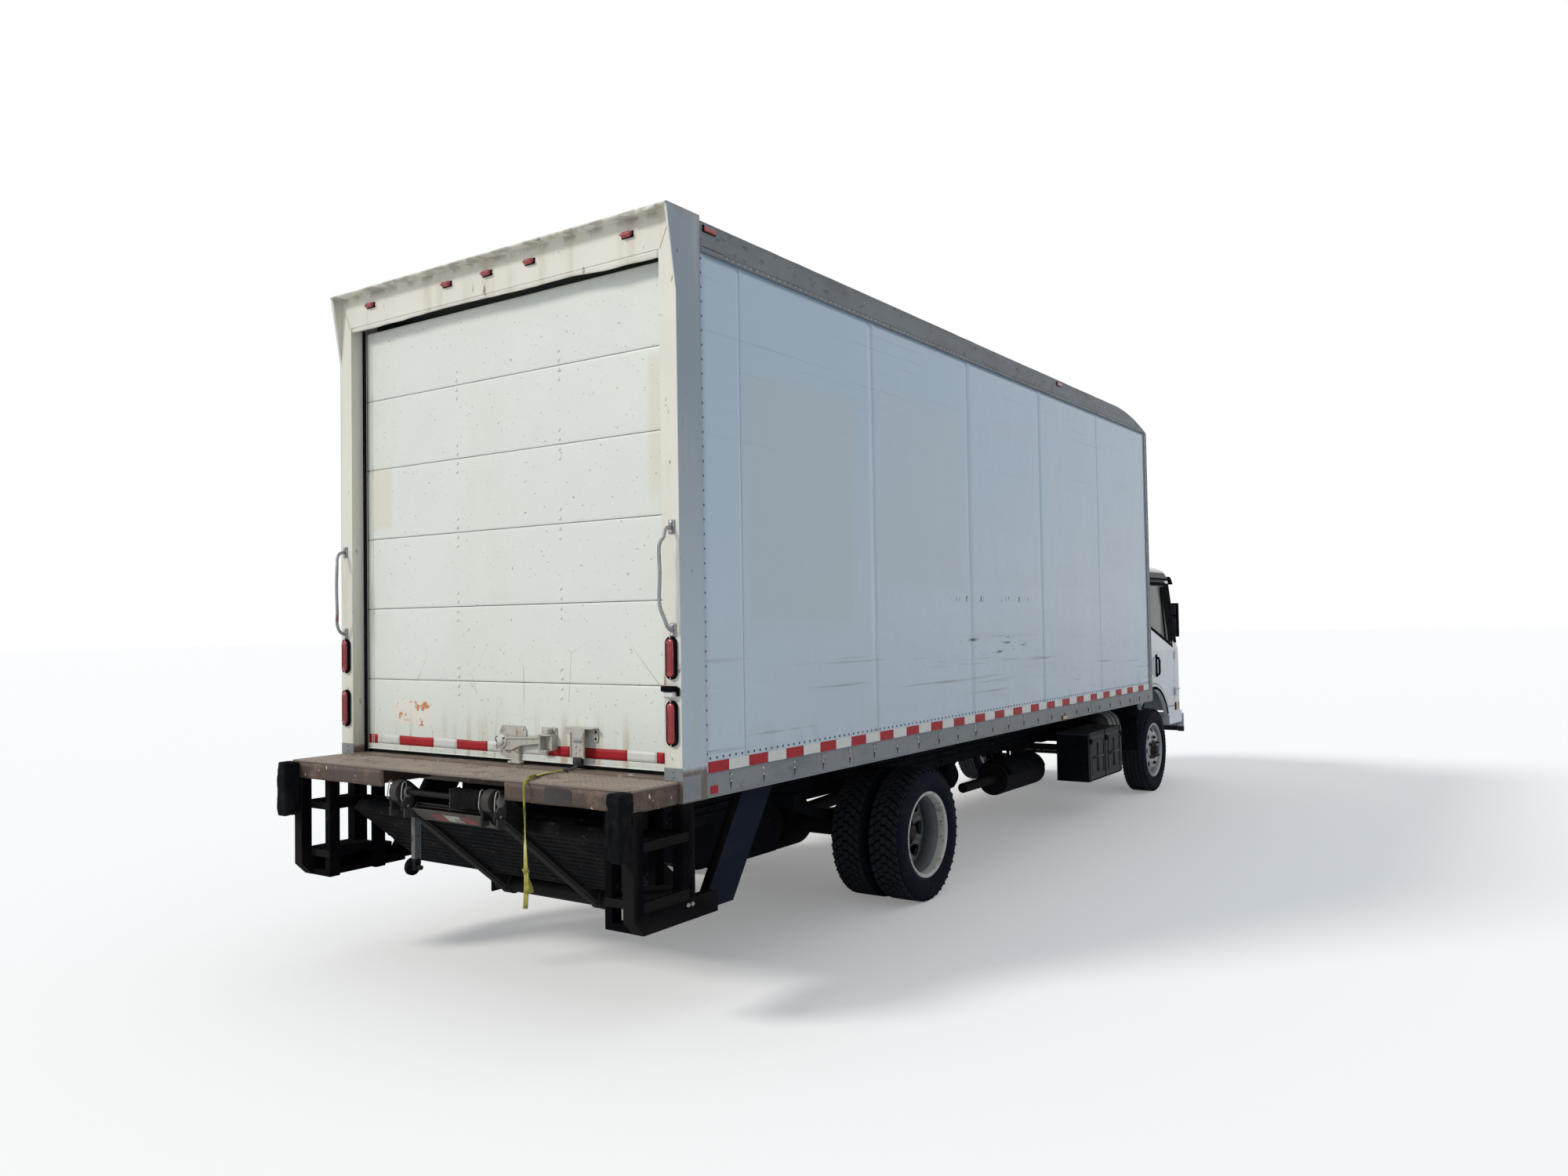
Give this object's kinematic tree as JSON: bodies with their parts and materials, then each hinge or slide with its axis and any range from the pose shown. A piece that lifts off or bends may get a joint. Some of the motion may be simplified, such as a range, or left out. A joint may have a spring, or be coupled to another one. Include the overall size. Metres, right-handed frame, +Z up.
{
  "type": "box truck",
  "caption": "Cab-over box truck with a dry-freight body, a roll-up rear door, corner steps and a tuck-under liftgate; wheels roll and steer, the cab tilts.",
  "frame": {"origin": "on the ground, midway between the outermost faces in length and width", "axes": "+Z up, +Y to the rear, so the cab faces -Y; +X is the truck's left side"},
  "size_m": [2.464, 9.08, 3.573],
  "materials": {
    "body_paint": "gloss white, dulled",
    "frame_paint": "gloss cream white",
    "door_paint": "pale grey green white",
    "rail_alloy": "dull",
    "deck_wood": "worn planks",
    "chassis_black": "satin black, dusty",
    "step_black": "worn black with rust",
    "cast_parts": "rough, oily",
    "galvanised": "worn",
    "lamp_red": "clear gloss",
    "lamp_clear": "clear gloss",
    "rusty_plate": "rusty tread plate",
    "rubber_black": "matt, cracked",
    "cab_paint": "gloss white",
    "window_glass": "clear",
    "seat_cloth": "woven",
    "trim_plastic": "grained",
    "tank_alloy": "dull",
    "exhaust_steel": "heat stained",
    "cleaner_grey": "satin grey",
    "tyre_rubber": "matt",
    "rim_cream": "gloss cream",
    "rim_silver": "gloss silver",
    "gate_black": "worn black",
    "platform_alloy": "ribbed, dull",
    "rod_chrome": "polished",
    "strap_yellow": "flat webbing"
  },
  "bodies": {
    "truck": {"air_cleaner": "cleaner_grey", "battery_box": "trim_plastic", "cargo_floor": "deck_wood", "cargo_front_wall": "body_paint", "cargo_rails": "rail_alloy", "cargo_roof": "rail_alloy", "cargo_side_left": "body_paint", "cargo_side_right": "body_paint", "chassis_rails": "chassis_black", "cross_members": "chassis_black", "cross_sills": "chassis_black", "long_sills": "chassis_black", "dock_bumpers": "rubber_black", "dock_plate": "rusty_plate", "door_hardware": "galvanised", "driveline": "cast_parts", "engine": "cast_parts", "exhaust": "exhaust_steel", "front_axle": "cast_parts", "front_bumper": "cab_paint", "fuel_tank": "tank_alloy", "grab_handles": "galvanised", "leaf_springs": "chassis_black", "liftgate_frame": "gate_black", "mudguards": "rubber_black", "rear_axle": "cast_parts", "rear_door": "door_paint", "rear_frame": "frame_paint", "rear_lamps": "lamp_red", "side_steps": "step_black", "tie_strap": "strap_yellow"},
    "cab": {"cab_shell": "cab_paint", "cab_glass": "window_glass", "seats": "seat_cloth", "dashboard": "trim_plastic", "headlamps": "lamp_clear", "mirrors": "trim_plastic"},
    "door_left": {"cab_door_left": "cab_paint", "door_glass_left": "window_glass"},
    "door_right": {"cab_door_right": "cab_paint", "door_glass_right": "window_glass"},
    "knuckle_left": {"knuckle_left": "cast_parts"},
    "knuckle_right": {"knuckle_right": "cast_parts"},
    "tie_rod": {"tie_rod": "cast_parts"},
    "front_wheel_left": {"front_tyre_left": "tyre_rubber", "front_rim_left": "rim_silver"},
    "front_wheel_right": {"front_tyre_right": "tyre_rubber", "front_rim_right": "rim_silver"},
    "rear_wheels_left": {"rear_tyres_left": "tyre_rubber", "rear_rims_left": "rim_cream"},
    "rear_wheels_right": {"rear_tyres_right": "tyre_rubber", "rear_rims_right": "rim_cream"},
    "lift_arms": {"lift_arms": "gate_black", "opener_roller": "rubber_black", "liftgate_platform": "platform_alloy"},
    "shackles": {"liftgate_shackles": "gate_black"},
    "lift_barrel": {"lift_cylinder_barrel": "gate_black"},
    "lift_rod": {"lift_cylinder_rod": "rod_chrome"}
  },
  "joints": [
    {"name": "steer_left", "type": "hinge", "parent": "truck", "child": "knuckle_left", "pos_m": [0.805, -3.419, 0.405], "axis": [0, 0, 1], "range_deg": [-35, 35]},
    {"name": "steer_right", "type": "hinge", "parent": "truck", "child": "knuckle_right", "pos_m": [-0.805, -3.419, 0.405], "axis": [0, 0, 1], "range_deg": [-35, 35]},
    {"name": "tie_rod_end", "type": "hinge", "parent": "knuckle_left", "child": "tie_rod", "pos_m": [0.7, -3.249, 0.35], "axis": [0, 0, 1], "range_deg": [-35, 35]},
    {"name": "roll_front_left", "type": "hinge", "parent": "knuckle_left", "child": "front_wheel_left", "pos_m": [0.885, -3.419, 0.405], "axis": [1, 0, 0], "continuous": true},
    {"name": "roll_front_right", "type": "hinge", "parent": "knuckle_right", "child": "front_wheel_right", "pos_m": [-0.885, -3.419, 0.405], "axis": [1, 0, 0], "continuous": true},
    {"name": "roll_rear_left", "type": "hinge", "parent": "truck", "child": "rear_wheels_left", "pos_m": [1.017, 1.661, 0.405], "axis": [1, 0, 0], "continuous": true},
    {"name": "roll_rear_right", "type": "hinge", "parent": "truck", "child": "rear_wheels_right", "pos_m": [-1.017, 1.661, 0.405], "axis": [1, 0, 0], "continuous": true},
    {"name": "cab_tilt", "type": "hinge", "parent": "truck", "child": "cab", "pos_m": [0, -4.28, 0.83], "axis": [1, 0, 0], "range_deg": [0, 45]},
    {"name": "open_door_left", "type": "hinge", "parent": "cab", "child": "door_left", "pos_m": [1.004, -4.13, 1.1], "axis": [0, 0, -1], "range_deg": [0, 70]},
    {"name": "open_door_right", "type": "hinge", "parent": "cab", "child": "door_right", "pos_m": [-1.004, -4.13, 1.1], "axis": [0, 0, 1], "range_deg": [0, 70]},
    {"name": "lower_arms", "type": "hinge", "parent": "truck", "child": "lift_arms", "pos_m": [0, 3.72, 0.35], "axis": [-1, 0, 0], "range_deg": [0, 29]},
    {"name": "hang_shackles", "type": "hinge", "parent": "lift_arms", "child": "shackles", "pos_m": [0, 4.42, 0.93], "axis": [-1, 0, 0], "range_deg": [-29, 0]},
    {"name": "swing_barrel", "type": "hinge", "parent": "truck", "child": "lift_barrel", "pos_m": [0, 2.99, 0.62], "axis": [1, 0, 0], "range_deg": [0, 4]},
    {"name": "extend_rod", "type": "slide", "parent": "lift_barrel", "child": "lift_rod", "axis": [0, 0.9694, -0.2454], "range_m": [0, 0.056]}
  ],
  "couplings": [
    {"joint": "steer_right", "follows": "steer_left", "ratio": 1},
    {"joint": "tie_rod_end", "follows": "steer_left", "ratio": -1},
    {"joint": "hang_shackles", "follows": "lower_arms", "ratio": -1},
    {"joint": "swing_barrel", "follows": "lower_arms", "ratio": 0.12266},
    {"joint": "extend_rod", "follows": "lower_arms", "m_per_rad": 0.10983}
  ]
}
